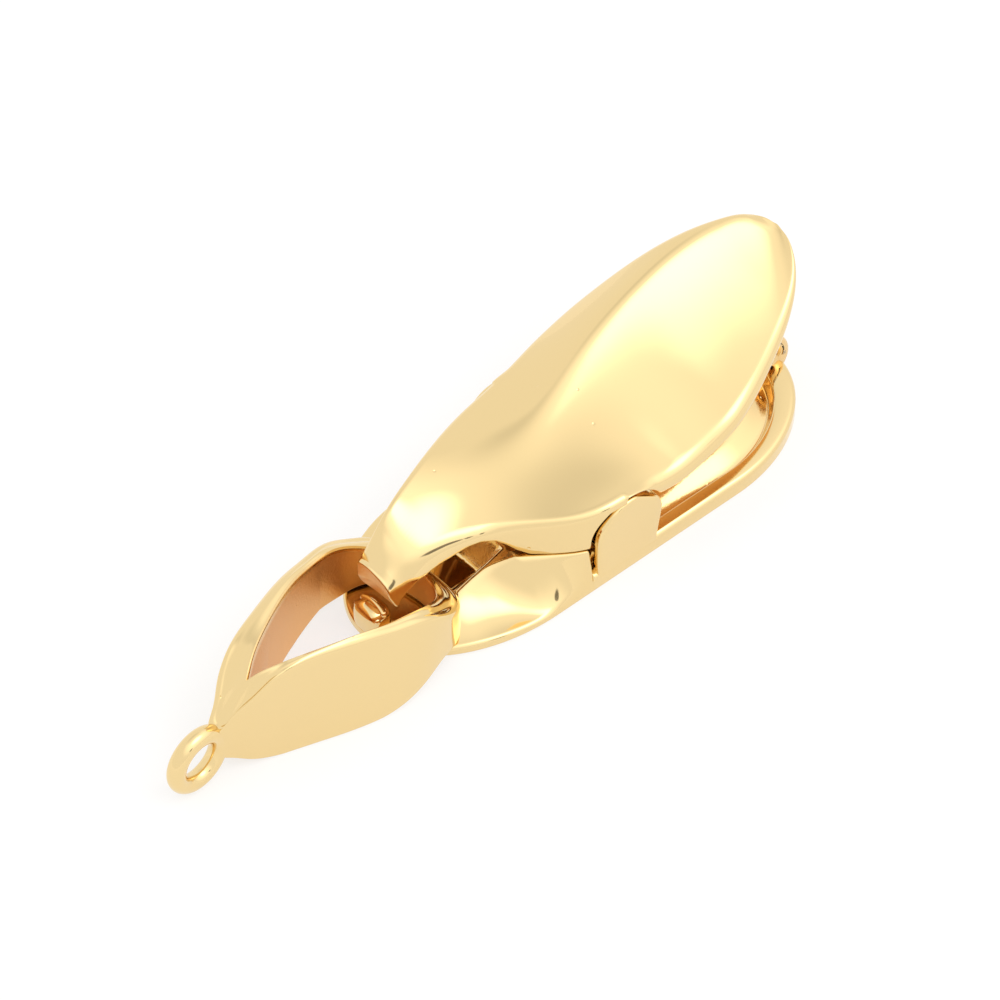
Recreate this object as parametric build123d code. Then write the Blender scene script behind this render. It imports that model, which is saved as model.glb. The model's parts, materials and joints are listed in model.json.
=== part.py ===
from build123d import *
import os

os.makedirs("parts", exist_ok=True)

# A clip clasp with a leaf-shaped link, in millimetres.
# X runs from the link towards the thumb end, Z is up, and the base rests on Z = 0.
# X = 0 is the hinge pin, and Y = 0 the middle plane of the base.

# Base plate and tray
base_rear = 12.85
base_front = 11.05
base_half_width = 4.7
rear_rounding = 6.35
front_rounding = 7.1
plate_thickness = 0.5
rim_height = 0.5
rim_side_width = 0.7
rim_rear_width = 1.15

# Hinge
pin_height = 2.5
pin_radius = 0.6
pin_clearance = 0.03
pin_cover = 0.35
ear_radius = 1.9
ear_thickness = 1.0
ear_flat = 0.26
ear_flat_angle = 55.0
ear_foot_width = 3.3
ear_foot_shift = 0.25
ear_gap = 0.12
lug_thickness = 0.9
lug_radius = 1.15
lug_neck_width = 1.85
lug_side_gap = 0.15

# Shoulders in front of the ears
deck_height = 1.85
deck_reach = 3.7
shoulder_reach = 9.0
shoulder_inset = 0.12
flare_height = 0.6
flare_reach = 6.4

# Mouth, where the link's end bar lies
mouth_radius = 3.75
mouth_behind_pin = 10.15
nose_height = 1.65
nose_width = 1.6
nose_length = 1.25
nose_top_length = 0.45
nose_bulge = 0.25
rib_radius = 0.16
rib_step = 0.42
rib_sink = 0.08

# Eye at the rear end of the base
eye_radius = 1.3
eye_width = 1.5
eye_hole_radius = 0.55
eye_edge = 0.3
eye_lift = 0.35
eye_overhang = 0.35

# Lever
lever_front = 10.45
lever_rear = 13.9
lever_half_width = 4.7
lever_height = 8.15
lever_wall = 0.65
ridge_to_edge = 0.1
under_overrun = 0.1
cheek_thickness = 0.75
cheek_gap = 0.15
cheek_reach = 2.75
cheek_slope = 0.9
tip_gap = 0.2
tip_hook_length = 0.75
tip_hook_slope = 0.25
beak_clearance = 0.45
beak_rise = 0.25

# Link
link_length = 13.2
link_half_width = 3.3
link_height = 5.3
link_wall = 0.8
link_bar_height = 2.05
link_bar_gap = 0.12
link_bar_to_pin = 7.45
link_shift = 0.2
link_yaw = 6.0
link_tip_length = 1.8
link_tip_half_width = 0.38
link_hole_tip_half_width = 0.15
ring_sink = 0.8
ring_radius = 1.25
ring_wire_radius = 0.42
ring_seam = 75.0

# Lever sections from the tip to the thumb end.
# along: share of the lever's length. near, far: edges as shares of the half width.
# near_z, ridge_z, far_z: heights as shares of the lever's height. ridge: ridge line as a share of the half width.
# bowl, flank: bulge of the near and the far slope as shares of the height, hollow where negative.
LEVER_COLUMNS = ("along", "near", "far", "near_z", "ridge", "ridge_z", "far_z", "bowl", "flank")
LEVER_ROWS = (
    (0.000, 0.17, 0.17, 0.337, 0.00, 0.355, 0.337, 0.010, 0.010),
    (0.053, 0.24, 0.26, 0.445, 0.02, 0.535, 0.480, 0.020, 0.020),
    (0.131, 0.32, 0.42, 0.525, 0.07, 0.640, 0.565, 0.025, 0.020),
    (0.230, 0.46, 0.66, 0.550, 0.06, 0.655, 0.555, 0.015, 0.020),
    (0.336, 0.88, 0.86, 0.570, 0.00, 0.655, 0.535, -0.020, 0.020),
    (0.430, 1.00, 0.95, 0.605, 0.00, 0.725, 0.565, -0.030, 0.020),
    (0.553, 1.00, 0.96, 0.475, 0.22, 0.860, 0.590, -0.050, 0.030),
    (0.676, 0.98, 0.93, 0.590, 0.34, 0.945, 0.720, -0.080, 0.030),
    (0.800, 0.83, 0.84, 0.755, 0.42, 0.995, 0.850, -0.085, 0.020),
    (0.902, 0.53, 0.74, 0.845, 0.46, 1.000, 0.895, -0.060, 0.010),
    (0.963, 0.24, 0.62, 0.855, 0.42, 0.945, 0.885, -0.020, 0.005),
    (1.000, -0.06, 0.38, 0.848, 0.20, 0.866, 0.856, 0.003, 0.003),
)

# Link outline from the end bar to the ring: share of the length, share of the half width.
LINK_OUTLINE = ((0.035, 0.50), (0.11, 0.86), (0.28, 1.00), (0.55, 0.83), (0.78, 0.52), (0.93, 0.22))
LINK_TIP_SLOPE = 0.5
# Link side view: share of the length, then the top and the bottom as shares of the height above the table.
LINK_SIDE = (
    (0.11, 0.540, 0.117), (0.18, 0.635, 0.117), (0.27, 0.760, 0.100), (0.45, 0.895, 0.000), (0.60, 0.965, 0.000),
    (0.75, 1.000, 0.000), (0.84, 0.940, 0.010), (0.92, 0.760, 0.095), (1.00, 0.540, 0.220),
)
# The stretch next to the end bar that lies over the base plate, as a share of the link's length.
LINK_REST_SHARE = 0.25

BIG = 40.0

ear_outer = base_half_width
ear_inner = base_half_width - ear_thickness
rim_top = plate_thickness + rim_height
deck_top = plate_thickness + deck_height
shoulder_start = -ear_radius
nose_front = -base_front
nose_rear = nose_front + nose_length
lever_length = lever_front + lever_rear
tip_bottom = nose_height + tip_gap
bar_bottom = plate_thickness + link_bar_gap
bar_top = bar_bottom + link_bar_height


def side_prism(points):
    """A polygon drawn in the XZ plane and pushed out far to both sides in Y."""
    face = make_face(Polyline(*[(x, 0, z) for x, z in points], close=True))
    return extrude(face, amount=BIG, dir=(0, 1, 0), both=True)


def cross_cylinder(x, z, radius, width):
    """A cylinder along Y, centred on the middle plane."""
    return Pos(x, 0, z) * Rot(90, 0, 0) * Cylinder(radius, width)


def half_oval(center_x, reach, half_width, bottom, top):
    """Half of an elliptical plate, rounding away from center_x over reach, forward if reach is negative."""
    disc = Pos(center_x, 0, bottom) * extrude(Ellipse(abs(reach), half_width), amount=top - bottom)
    keep = Pos(center_x + reach, 0, bottom) * Box(2 * abs(reach), BIG, BIG)
    return disc & keep


def base_plan(top):
    """The boat-shaped plan of the base, from the table up to top."""
    rear_center = base_rear - rear_rounding
    front_center = front_rounding - base_front
    middle = Pos((rear_center + front_center) / 2, 0, top / 2) * Box(
        rear_center - front_center, 2 * base_half_width, top)
    rear = half_oval(rear_center, rear_rounding, base_half_width, 0, top)
    front = half_oval(front_center, -front_rounding, base_half_width, 0, top)
    return middle + rear + front


def tray_pocket():
    """The recess inside the rim, from the shoulders to the rear."""
    half_width = base_half_width - rim_side_width
    rear_center = base_rear - rear_rounding
    straight = Pos((rear_center + shoulder_start) / 2, 0, plate_thickness + BIG / 2) * Box(
        rear_center - shoulder_start, 2 * half_width, BIG)
    rear = half_oval(rear_center, rear_rounding - rim_rear_width, half_width, plate_thickness, BIG)
    return straight + rear


def shoulder_section(height, reach, half_width):
    """A half ellipse that opens at the ears and reaches towards the mouth."""
    disc = Pos(shoulder_start, 0) * Ellipse(reach, half_width)
    keep = Pos(shoulder_start - reach, 0) * Rectangle(2 * reach, BIG)
    return Pos(0, 0, height) * (disc & keep)


def shoulders():
    """The body in front of the ears, hollow-sloped from the deck down to the plate."""
    half_width = base_half_width - shoulder_inset
    body = loft([
        shoulder_section(plate_thickness, shoulder_reach, half_width),
        shoulder_section(plate_thickness + flare_height, flare_reach, half_width),
        shoulder_section(deck_top, deck_reach, half_width - shoulder_inset),
    ])
    mouth = Pos(-mouth_behind_pin, 0, plate_thickness + BIG / 2) * Cylinder(mouth_radius, BIG)
    return body - mouth


def ear_outline():
    """The ear from the side: a disc round the pin, flattened above its rear, on a foot down to the plate."""
    disc = Pos(0, pin_height) * Circle(ear_radius)
    foot = Pos(-ear_foot_shift, pin_height / 2) * Rectangle(ear_foot_width, pin_height)
    beyond = Pos(ear_radius - ear_flat + BIG / 2, 0) * Rectangle(BIG, BIG)
    return disc - Pos(0, pin_height) * Rot(0, 0, ear_flat_angle) * beyond + foot


def ears():
    """The two ears, with blind holes for the pin."""
    block = extrude(Rot(90, 0, 0) * ear_outline(), amount=base_half_width, both=True)
    middle = Box(BIG, 2 * ear_inner, BIG)
    hole = cross_cylinder(0, pin_height, pin_radius + pin_clearance, 2 * (ear_outer - pin_cover + pin_clearance))
    return block - middle - hole


def nose():
    """The knob at the front of the tongue, with two small ribs across its top."""
    top_front = nose_rear - nose_top_length
    straight = Polyline((nose_front, plate_thickness), (nose_front, 0), (nose_rear, 0), (nose_rear, nose_height),
                        (top_front, nose_height))
    rounded = SagittaArc((top_front, nose_height), (nose_front, plate_thickness), -nose_bulge)
    profile = make_face(Wire(straight.edges() + rounded.edges()))
    body = extrude(Rot(90, 0, 0) * profile, amount=nose_width / 2, both=True)
    upper_rib = cross_cylinder(top_front + rib_sink, nose_height - rib_sink, rib_radius, nose_width)
    lower_rib = cross_cylinder(top_front + rib_sink - rib_step, nose_height - rib_sink - rib_step / 2,
                               rib_radius, nose_width)
    return body + upper_rib + lower_rib


def build_base():
    """The lower jaw, cast in one piece, with the small eye for the other end of the chain at its rear."""
    rim = base_plan(rim_top) & (Pos(shoulder_start + BIG / 2, 0, 0) * Box(BIG, BIG, BIG))
    eye_x = base_rear + eye_overhang - eye_radius
    eye = cross_cylinder(eye_x, eye_radius, eye_radius, eye_width)
    eye = fillet(eye.edges(), eye_edge)
    body = base_plan(plate_thickness) + (rim - tray_pocket()) + shoulders() + ears() + nose() + eye
    return body - cross_cylinder(eye_x, eye_radius + eye_lift, eye_hole_radius, BIG)


def lever_row(row):
    """One row of the table as real sizes."""
    share = dict(zip(LEVER_COLUMNS, row))
    return {
        "x": share["along"] * lever_length - lever_front,
        "near": -share["near"] * lever_half_width,
        "far": share["far"] * lever_half_width,
        "near_z": share["near_z"] * lever_height,
        "ridge": share["ridge"] * lever_half_width,
        "ridge_z": share["ridge_z"] * lever_height,
        "far_z": share["far_z"] * lever_height,
        "bowl": share["bowl"] * lever_height,
        "flank": share["flank"] * lever_height,
    }


def row_at(x):
    """The lever's measures at any place between two rows of the table."""
    rows = [lever_row(row) for row in LEVER_ROWS]
    for before, after in zip(rows, rows[1:]):
        if x <= after["x"] or after is rows[-1]:
            break
    part = (x - before["x"]) / (after["x"] - before["x"])
    return {name: before[name] + part * (after[name] - before[name]) for name in before}


def top_arcs(row, near, far, drop):
    """The two slopes of the lever's top in one cross-section, lowered by drop."""
    x = row["x"]
    ridge = min(max(row["ridge"], near + ridge_to_edge), far - ridge_to_edge)
    near_z = row["near_z"] - drop
    ridge_z = row["ridge_z"] - drop
    far_z = row["far_z"] - drop
    near_mid = (x, (near + ridge) / 2, (near_z + ridge_z) / 2 + row["bowl"])
    far_mid = (x, (far + ridge) / 2, (far_z + ridge_z) / 2 + row["flank"])
    return [ThreePointArc((x, near, near_z), near_mid, (x, ridge, ridge_z)),
            ThreePointArc((x, ridge, ridge_z), far_mid, (x, far, far_z))]


def upright_section(row, inset, drop, floor):
    """A cross-section with upright sides, inset from the lever's edges, down to a flat floor."""
    x = row["x"]
    near = row["near"] + inset
    far = row["far"] - inset
    sides = Polyline((x, far, row["far_z"] - drop), (x, far, floor), (x, near, floor), (x, near, row["near_z"] - drop))
    return make_face(Wire(top_arcs(row, near, far, drop) + sides.edges()))


def wide_section(row, drop, floor):
    """A cross-section that runs out past both edges, level from a little outside each."""
    x = row["x"]
    near, far = row["near"] - under_overrun, row["far"] + under_overrun
    near_z, far_z = row["near_z"] - drop, row["far_z"] - drop
    near_out, far_out = near - lever_half_width, far + lever_half_width
    sides = Polyline((x, far, far_z), (x, far_out, far_z), (x, far_out, floor),
                     (x, near_out, floor), (x, near_out, near_z), (x, near, near_z))
    return make_face(Wire(top_arcs(row, near, far, drop) + sides.edges()))


def beak_cutter():
    """What is cut away below the beak and the cheeks, seen from the side."""
    hook_rear = tip_hook_length - lever_front
    cheek_bottom = deck_top + cheek_gap
    beak_bottom = bar_top + beak_clearance
    cheek_front = shoulder_start - cheek_reach
    return side_prism([
        (-BIG, tip_bottom), (hook_rear, tip_bottom), (hook_rear + tip_hook_slope, beak_bottom),
        (mouth_radius - mouth_behind_pin, beak_bottom + beak_rise),
        (cheek_front - cheek_slope, beak_bottom + beak_rise), (cheek_front, cheek_bottom),
        (0, cheek_bottom), (0, -BIG), (-BIG, -BIG),
    ])


def build_lever():
    """The leaf-shaped lid with its cheeks, beak and hinge lugs."""
    rows = [lever_row(row) for row in LEVER_ROWS]
    shape = loft([upright_section(row, 0, 0, 0) for row in rows])
    hollow_start = mouth_radius - mouth_behind_pin
    notch_radius = ear_radius + ear_gap
    inner_rows = [row_at(hollow_start)] + [row for row in rows if hollow_start < row["x"] < notch_radius]
    hollow = loft([upright_section(row, cheek_thickness, lever_wall, -1)
                   for row in inner_rows + [row_at(notch_radius)]])
    rear_rows = [row_at(notch_radius)] + [row for row in rows if row["x"] > notch_radius]
    under = loft([wide_section(row, lever_wall, -1) for row in rear_rows])
    notch = cross_cylinder(0, pin_height, notch_radius, BIG)
    notch += Pos(0, 0, pin_height - BIG / 2) * Box(2 * notch_radius, BIG, BIG)
    return shape - hollow - under - notch - beak_cutter() + hinge_lugs(shape)


def hinge_lugs(shape):
    """The two lugs that reach down inside the ears and hang on the pin, topped by the lever's own surface."""
    lug_outer = ear_inner - lug_side_gap
    profile = Pos(0, pin_height) * Circle(lug_radius)
    profile += Pos(0, pin_height + BIG / 2) * Rectangle(lug_neck_width, BIG)
    block = extrude(Rot(90, 0, 0) * profile, amount=lug_outer, both=True)
    block -= Box(BIG, 2 * (lug_outer - lug_thickness), 2 * BIG)
    return (block & shape) - cross_cylinder(0, pin_height, pin_radius + pin_clearance, BIG)


def link_plan(start, length, half_width, tip_y):
    """The leaf outline of the link, blunt at start and closing to the narrow flat of its tip."""
    side = [(-start - share * length, width * half_width) for share, width in LINK_OUTLINE]
    tip_x = -start - length
    far = Spline((-start, 0), *side, (tip_x, tip_y), tangents=((0, 1), (-1, -LINK_TIP_SLOPE)))
    near = Spline((-start, 0), *[(x, -y) for x, y in side], (tip_x, -tip_y), tangents=((0, -1), (-1, LINK_TIP_SLOPE)))
    return make_face(Wire([far, near, Line((tip_x, tip_y), (tip_x, -tip_y))]))


def link_side():
    """The side view of the link: low at the end bar, tall beyond the middle, low again at the ring."""
    top = [(0, bar_top)] + [(-share * link_length, height * link_height) for share, height, _ in LINK_SIDE]
    foot = [(-share * link_length, height * link_height) for share, _, height in LINK_SIDE if share > LINK_REST_SHARE]
    past_bar, past_tip = link_wall, -link_length - link_wall
    top_edge = Spline(*[(x, 0, z) for x, z in top])
    rest = Polyline(*[(x, 0, z) for x, z in [
        (0, bar_top), (past_bar, bar_top), (past_bar, bar_bottom), (-LINK_REST_SHARE * link_length, bar_bottom),
        *foot, (past_tip, foot[-1][1]), (past_tip, top[-1][1]), top[-1]]])
    face = make_face(Wire([top_edge] + rest.edges()))
    return extrude(face, amount=BIG, dir=(0, 1, 0), both=True)


def build_link():
    """The tall leaf-shaped loop and its soldered end ring."""
    outer = extrude(link_plan(0, link_length, link_half_width, link_tip_half_width), amount=BIG)
    inner_length = link_length - link_wall - link_tip_length
    inner_plan = link_plan(link_wall, inner_length, link_half_width - link_wall, link_hole_tip_half_width)
    inner = extrude(inner_plan, amount=BIG)
    band = (outer & link_side()) - inner
    ring_outer = ring_radius + ring_wire_radius
    ring = Pos(ring_sink - link_length - ring_outer, 0, ring_outer) * Rot(90, 0, ring_seam) * Torus(
        ring_radius, ring_wire_radius)
    return Pos(-link_bar_to_pin, -link_shift, 0) * Rot(0, 0, link_yaw) * (band + ring)


parts = {
    "base": build_base(),
    "hinge_pin": cross_cylinder(0, pin_height, pin_radius, 2 * (ear_outer - pin_cover)),
    "lever": build_lever(),
    "link": build_link(),
}
for name, shape in parts.items():
    export_step(shape, f"parts/{name}.step")
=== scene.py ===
"""The clip clasp in polished gold plate: lever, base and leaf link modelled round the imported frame."""

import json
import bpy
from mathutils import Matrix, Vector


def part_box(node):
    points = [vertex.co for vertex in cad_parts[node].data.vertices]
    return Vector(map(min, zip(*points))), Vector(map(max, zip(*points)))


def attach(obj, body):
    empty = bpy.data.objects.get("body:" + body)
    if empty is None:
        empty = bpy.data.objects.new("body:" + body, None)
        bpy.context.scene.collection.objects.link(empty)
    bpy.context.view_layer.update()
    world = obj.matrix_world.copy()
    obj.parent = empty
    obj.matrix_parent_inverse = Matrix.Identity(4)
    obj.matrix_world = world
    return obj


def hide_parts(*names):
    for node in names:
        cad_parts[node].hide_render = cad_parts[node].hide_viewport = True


bl_info = {
    "name": "Leaf clip clasp",
    "version": (1, 0, 0),
    "blender": (4, 5, 0),
    "location": "View3D > Sidebar > Clasp",
    "description": "Dresses the clip clasp's frame in polished gold-plated castings",
    "category": "Object",
}

import bmesh
import bpy
import numpy as np
from bpy.props import FloatProperty, FloatVectorProperty, PointerProperty
from mathutils import Vector

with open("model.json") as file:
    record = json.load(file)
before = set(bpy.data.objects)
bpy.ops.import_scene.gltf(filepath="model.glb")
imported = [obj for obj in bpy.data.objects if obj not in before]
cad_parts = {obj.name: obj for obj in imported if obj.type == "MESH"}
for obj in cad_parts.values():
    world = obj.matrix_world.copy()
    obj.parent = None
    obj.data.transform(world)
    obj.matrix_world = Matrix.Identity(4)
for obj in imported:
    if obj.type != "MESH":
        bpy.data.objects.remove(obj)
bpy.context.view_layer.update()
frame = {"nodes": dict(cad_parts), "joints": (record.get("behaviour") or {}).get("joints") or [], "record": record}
MM = 0.001


def frame_box(node):
    """Lowest and highest corner of a CAD node, in millimetres."""
    low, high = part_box(node)
    return np.array(low) / MM, np.array(high) / MM


LEVER_LOW, LEVER_HIGH = frame_box("lever")
BASE_LOW, BASE_HIGH = frame_box("base")
LINK_LOW, LINK_HIGH = frame_box("link")
HINGE = next(joint for joint in frame["joints"] if joint["name"] == "lever_hinge")
PIN_HEIGHT = HINGE["pos_m"][2] / MM

# The lever's cross-sections from its tip to the thumb end, as shares of its length, half width and
# height: the two edges and their heights, the ridge line and its height, the bulge of the near and the
# far slope, how wide the ridge is rubbed round in millimetres, and how much more each slope bulges close
# to the ridge.
LEVER_HALF_WIDTH = 4.7
LEVER_FULL_HEIGHT = 8.15
# In millimetres: the rounding of the thumb end's rim, how much thinner the lid gets towards it, the side
# walls behind the ears, and how far the beak's near wall leans out for each millimetre below its top.
THUMB_EDGE = 0.2
THUMB_THINNING = 0.25
REAR_SIDE_WALL = 0.22
BEAK_FLARE = 0.34
BEAK_FLARE_TOP = 3.5
LEVER_COLUMNS = (
    "along", "near", "far", "near_z", "ridge", "ridge_z", "far_z",
    "bowl", "flank", "soft", "crest", "far_crest",
)
LEVER_ROWS = np.array((
    (0.000, 0.169, 0.211, 0.385, -0.037, 0.415, 0.415, 0.012, 0.016, 0.220, 0.004, 0.002),
    (0.020, 0.188, 0.207, 0.402, -0.027, 0.468, 0.492, 0.012, 0.030, 0.182, 0.005, 0.000),
    (0.053, 0.227, 0.223, 0.441, 0.018, 0.554, 0.619, 0.004, 0.037, 0.636, 0.004, -0.001),
    (0.131, 0.301, 0.362, 0.509, 0.106, 0.619, 0.691, -0.009, 0.024, 0.733, 0.001, -0.001),
    (0.230, 0.482, 0.585, 0.521, 0.145, 0.619, 0.648, -0.010, 0.015, 0.802, -0.008, 0.001),
    (0.336, 0.871, 0.804, 0.556, 0.144, 0.618, 0.573, -0.026, 0.014, 0.651, -0.023, 0.007),
    (0.430, 1.000, 0.889, 0.578, 0.231, 0.683, 0.573, -0.042, 0.009, 0.388, -0.035, 0.008),
    (0.553, 1.031, 0.977, 0.517, 0.383, 0.824, 0.634, -0.017, 0.016, 0.277, -0.037, 0.005),
    (0.676, 0.994, 0.927, 0.613, 0.482, 0.928, 0.769, -0.020, 0.016, 0.217, -0.015, 0.003),
    (0.800, 0.761, 0.767, 0.675, 0.541, 0.986, 0.930, -0.022, 0.001, 0.273, -0.011, -0.002),
    (0.902, 0.475, 0.630, 0.739, 0.527, 0.991, 0.963, -0.024, -0.003, 0.291, -0.015, -0.002),
    (0.963, 0.223, 0.549, 0.823, 0.426, 0.950, 0.926, -0.022, 0.004, 0.219, -0.011, 0.001),
    (1.000, -0.254, 0.254, 0.908, 0.254, 0.875, 0.912, -0.006, 0.000, 0.450, 0.001, 0.000),
))
# Lower edge of the lever from the tip's hook over the beak to the cheek: place along X and height, in
# millimetres.
BEAK_EDGE = np.array((
    (-10.45, 2.15), (-10.20, 2.20), (-9.98, 2.42), (-9.66, 2.62), (-8.95, 2.98), (-8.16, 3.20),
    (-7.24, 3.35), (-6.40, 3.60), (-5.80, 3.65), (-5.20, 3.48), (-4.80, 3.15), (-4.40, 2.72),
    (-3.94, 2.40), (-3.20, 2.34), (-1.50, 2.34),
))
# How far the lid's edge is rolled over: place along X, in from the near edge, down there, in from the far
# edge and down there, in millimetres.
LEVER_ROLL = np.array((
    (-10.45, 0.20, 0.24, 0.20, 0.18), (-9.50, 0.40, 0.52, 0.26, 0.22), (-8.50, 0.52, 0.70, 0.30, 0.26),
    (-6.50, 0.56, 0.74, 0.34, 0.28), (-4.80, 0.46, 0.50, 0.34, 0.28), (-3.00, 0.40, 0.38, 0.34, 0.28),
    (6.00, 0.50, 0.46, 0.36, 0.30), (11.00, 0.42, 0.36, 0.40, 0.30), (13.90, 0.30, 0.24, 0.30, 0.24),
))

# Plan of the link's loop, as shares of its length and half width: the outer outline, alike on both sides,
# then the opening's far side and near side. The opening's tip leans to the near side.
LINK_OUTLINE = np.array((
    (0.035, 0.56), (0.06, 0.82), (0.11, 0.935), (0.18, 0.975), (0.30, 0.930), (0.445, 0.825),
    (0.58, 0.688), (0.703, 0.540), (0.80, 0.430), (0.864, 0.345), (0.91, 0.262), (0.964, 0.130),
))
LINK_OPENING_FAR = np.array((
    (0.075, 0.30), (0.115, 0.56), (0.216, 0.71), (0.313, 0.700), (0.469, 0.571), (0.60, 0.38),
    (0.71, 0.185), (0.80, 0.005),
))
LINK_OPENING_NEAR = np.array((
    (0.075, -0.30), (0.115, -0.56), (0.216, -0.72), (0.313, -0.730), (0.473, -0.641), (0.646, -0.467),
    (0.773, -0.295),
))
LINK_OPENING_TIP = (0.858, -0.130)
# The loop's length and half width, and how deep the ring's wire is sunk in its tip, in millimetres.
LINK_LENGTH, LINK_HALF_WIDTH, RING_OVERLAP = 13.2, 3.3, 0.8
# Side view of the link: share of its length, the heights of its top and bottom as shares of its full
# height, and how far its foot spreads past its top, in millimetres.
LINK_SIDE = np.array((
    (0.00, 0.503, 0.117, 0.00), (0.11, 0.550, 0.117, 0.00), (0.18, 0.650, 0.117, 0.04),
    (0.27, 0.765, 0.090, 0.34), (0.37, 0.835, 0.035, 0.60), (0.45, 0.895, 0.000, 0.64),
    (0.60, 0.965, 0.000, 0.60), (0.68, 0.990, 0.000, 0.50), (0.78, 0.990, 0.000, 0.20),
    (0.84, 0.940, 0.020, 0.04), (0.92, 0.760, 0.095, 0.00), (1.00, 0.540, 0.220, 0.00),
))


def linear(hex_colour):
    """An sRGB hex colour as linear red, green, blue and alpha."""
    srgb = np.array([int(hex_colour[i:i + 2], 16) for i in (0, 2, 4)]) / 255
    rgb = np.where(srgb <= 0.04045, srgb / 12.92, ((srgb + 0.055) / 1.055) ** 2.4)
    return (*rgb.tolist(), 1.0)


class ClaspSizes(bpy.types.PropertyGroup):
    """Sizes of the castings' details, in millimetres."""
    lever_wall: FloatProperty(name="Lever wall",
                              description="Thickness of the lid", default=0.8, min=0.3)
    cheek_wall: FloatProperty(name="Cheek wall",
                              description="Thickness of the cheeks", default=0.75, min=0.3)
    ear_radius: FloatProperty(name="Ear radius",
                              description="Radius of the ears", default=1.85, min=0.5)
    far_ear_radius: FloatProperty(name="Far ear radius",
                                  description="Radius of the ear on the far side", default=1.55)
    ear_shift: FloatProperty(name="Ear shift",
                             description="How far the ears lie behind the pin", default=0.2)
    ear_wall: FloatProperty(name="Ear thickness",
                            description="Thickness of each ear", default=1.0, min=0.3)
    ear_gap: FloatProperty(name="Ear gap",
                           description="Gap between an ear and the lever's notch", default=0.14)
    plate: FloatProperty(name="Plate", description="Thickness of the base plate", default=0.5, min=0.2)
    rim_height: FloatProperty(name="Rim height",
                              description="Height of the tray's rim over the plate", default=0.5)
    deck: FloatProperty(name="Deck height",
                        description="Height of the shoulders' deck over the plate", default=1.8)
    base_edge: FloatProperty(name="Base edge",
                             description="Rounding of the base's upper edge", default=0.2, min=0.02)
    link_edge: FloatProperty(name="Link edge",
                             description="Rounding of the link's outer top edge", default=0.42)
    ring_radius: FloatProperty(name="Ring radius",
                               description="Mean radius of the end ring", default=1.246, min=0.5)
    ring_wire: FloatProperty(name="Ring wire",
                             description="Radius of the ring's wire", default=0.42, min=0.1)


class ClaspFinish(bpy.types.PropertyGroup):
    """Colours of the plating, where polished and where left as cast, and of the table. Where left as cast the
    plating is a deeper orange, a painted reflection of bounce light from the hollows.
    """
    plate: FloatVectorProperty(name="Gold plate", description="Colour of the light gold plating",
                               subtype="COLOR", size=4, default=linear("EED39B"))
    # Partly painted light: the unpolished plate's deeper orange is a painted reflection, standing in for light
    # bounced gold on gold inside the hollows.
    cast: FloatVectorProperty(name="Unpolished plate",
                              description="Colour of the plating over rough casting",
                              subtype="COLOR", size=4, default=linear("EBB36E"))
    table: FloatVectorProperty(name="Table", description="Colour of the white table",
                               subtype="COLOR", size=4, default=linear("F4F2F0"))


def natural_spline(knots, values, places, start=None, end=None):
    """Cubic spline through the knots, smooth in slope and curvature.

    Its slopes come from one linear system; a given start or end slope replaces the free end there.
    """
    knots, values = np.asarray(knots, float), np.asarray(values, float)
    values = values.reshape(len(knots), -1)
    gap = np.diff(knots)
    rise = np.diff(values, axis=0) / gap[:, None]
    system, right = np.zeros((len(knots), len(knots))), np.zeros_like(values)
    middle = np.arange(1, len(knots) - 1)
    system[middle, middle - 1], system[middle, middle + 1] = gap[1:], gap[:-1]
    system[middle, middle] = 2 * (gap[1:] + gap[:-1])
    right[middle] = 3 * (gap[1:, None] * rise[:-1] + gap[:-1, None] * rise[1:])
    system[0, :2], right[0] = ((2, 1), 3 * rise[0]) if start is None else ((1, 0), start)
    system[-1, -2:], right[-1] = ((1, 2), 3 * rise[-1]) if end is None else ((0, 1), end)
    slope = np.linalg.solve(system, right)
    places = np.asarray(places, float)
    i = np.clip(np.searchsorted(knots, places, side="right") - 1, 0, len(knots) - 2)
    h = gap[i][:, None]
    t = (places - knots[i])[:, None] / h
    bend = (2 * t ** 3 - 3 * t ** 2 + 1) * values[i] + (t ** 3 - 2 * t ** 2 + t) * h * slope[i]
    return bend + (3 * t ** 2 - 2 * t ** 3) * values[i + 1] + (t ** 3 - t ** 2) * h * slope[i + 1]


def smooth_step(value):
    """Zero below 0, one above 1, and an even S between."""
    value = np.clip(value, 0, 1)
    return value * value * (3 - 2 * value)


def soft_min(a, b, blend):
    """The smaller of two heights, with the corner between them rounded over blend."""
    h = np.clip(0.5 + 0.5 * (b - a) / blend, 0, 1)
    return b + (a - b) * h - blend * h * (1 - h)


def edge_drop(distance, radius):
    """How far a quarter-round edge lies below its flat, at a distance in from the edge."""
    inward = np.clip(radius - distance, 0, radius)
    return radius - np.sqrt(np.maximum(radius ** 2 - inward ** 2, 0))


def edge_steps(width, low, high, inner):
    """Distances across a strip of that width, crowded where its two edges are rolled over.

    width, low and high, how far in each edge is rolled over, are one number per section. Narrow strips
    get less of a roll. The rolls come back as they were used.
    """
    fit = np.minimum(1, 0.9 * width / (low + high))
    width, low, high = width[:, None], (low * fit)[:, None], (high * fit)[:, None]
    turn = np.linspace(0, np.pi / 2, 10)[None, :]
    between = low + (width - low - high) * np.linspace(0, 1, inner + 2)[None, 1:-1]
    steps = [low * (1 - np.cos(turn)), between, width - high * (1 - np.cos(turn[:, ::-1]))]
    return np.concatenate(steps, axis=1), low, high


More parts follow.
